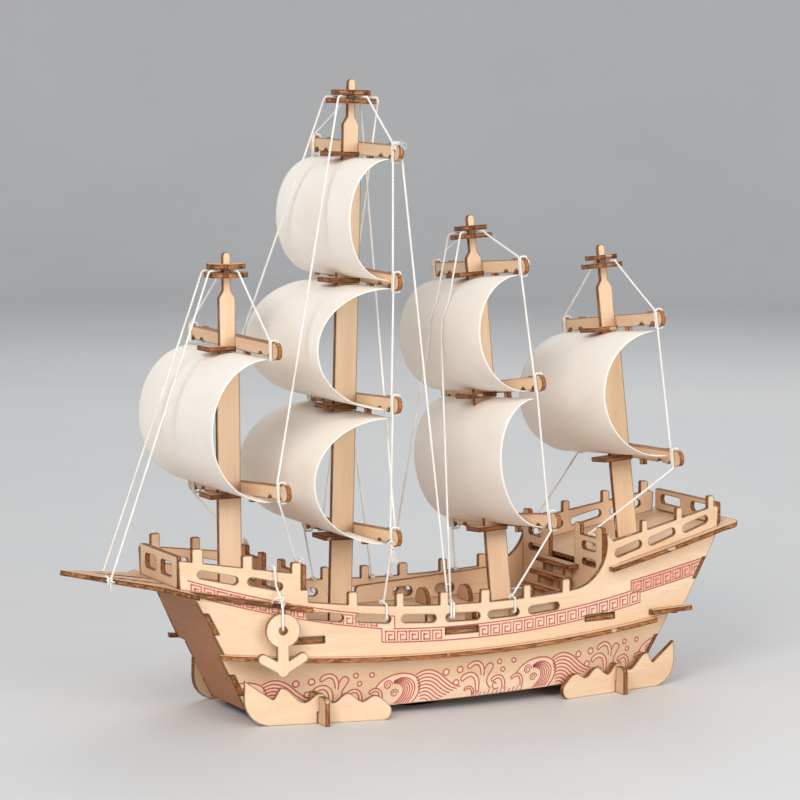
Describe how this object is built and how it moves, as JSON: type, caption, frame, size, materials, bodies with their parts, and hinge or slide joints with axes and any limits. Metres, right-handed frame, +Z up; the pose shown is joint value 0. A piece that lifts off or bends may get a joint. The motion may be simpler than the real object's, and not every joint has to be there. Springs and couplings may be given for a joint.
{
  "type": "plywood sailing ship model",
  "caption": "Slot-together plywood puzzle model of a square-rigged sailing ship with bellied sails, string rigging, a hanging anchor and wave-cut feet.",
  "frame": {"origin": "centre of the bounding box on the ground under the feet", "axes": "+X to the bow, +Y to port, +Z up"},
  "size_m": [0.3074, 0.1106, 0.2659],
  "materials": {
    "plywood": "bare sanded basswood plywood with scorched laser-cut edges",
    "printed_plywood": "bare plywood with a dusty red printed border and waves",
    "dark_cut_plywood": "bare plywood seen mostly on its scorched edges",
    "sail_card": "smooth stiffened ivory cloth",
    "cotton_string": "twisted white cotton"
  },
  "bodies": {
    "hull": {"keel_spine": "plywood", "lower_frames_set": "plywood", "upper_frames_set": "plywood", "main_wale_deck": "dark_cut_plywood", "main_deck": "plywood", "fore_deck": "dark_cut_plywood", "poop_deck": "dark_cut_plywood", "bow_panel": "plywood", "stern_panel": "plywood", "port_upper_side": "printed_plywood", "starboard_upper_side": "printed_plywood", "port_lower_side": "printed_plywood", "starboard_lower_side": "printed_plywood", "front_rail": "plywood", "forecastle_rail": "plywood", "poop_bulkhead": "plywood", "taffrail": "plywood", "stair_stringers": "dark_cut_plywood", "stair_treads": "dark_cut_plywood", "inner_bulwarks": "plywood", "deck_arches": "plywood", "port_fore_foot": "plywood", "port_aft_foot": "plywood", "starboard_fore_foot": "plywood", "starboard_aft_foot": "plywood", "foot_crosses": "dark_cut_plywood", "fore_mast": "plywood", "main_mast": "plywood", "mizzen_mast": "plywood", "jigger_mast": "plywood", "fore_nest": "dark_cut_plywood", "main_nest": "dark_cut_plywood", "mizzen_nest": "dark_cut_plywood", "jigger_nest": "dark_cut_plywood", "fore_yards": "plywood", "main_yards": "plywood", "mizzen_yards": "plywood", "jigger_yards": "plywood", "fore_cheeks": "plywood", "main_cheeks": "plywood", "mizzen_cheeks": "plywood", "jigger_cheeks": "plywood", "fore_locks": "dark_cut_plywood", "main_locks": "dark_cut_plywood", "mizzen_locks": "dark_cut_plywood", "jigger_locks": "dark_cut_plywood", "fore_sail": "sail_card", "main_sail_top": "sail_card", "main_sail_middle": "sail_card", "main_sail_lower": "sail_card", "mizzen_sail_top": "sail_card", "mizzen_sail_lower": "sail_card", "jigger_sail": "sail_card", "fore_rigging": "cotton_string", "main_rigging": "cotton_string", "mizzen_rigging": "cotton_string", "jigger_rigging": "cotton_string"},
    "anchor_line": {"anchor_line": "cotton_string"},
    "anchor": {"anchor": "plywood"}
  },
  "joints": [
    {"name": "anchor_line_swing", "type": "hinge", "parent": "hull", "child": "anchor_line", "pos_m": [0.0712, 0.0366, 0.053], "axis": [0.1719, 0.9851, 0], "range_deg": [-35, 35]},
    {"name": "anchor_tilt", "type": "hinge", "parent": "anchor_line", "child": "anchor", "pos_m": [0.0712, 0.0366, 0.0406], "axis": [0.1719, 0.9851, 0], "range_deg": [-25, 25]}
  ]
}
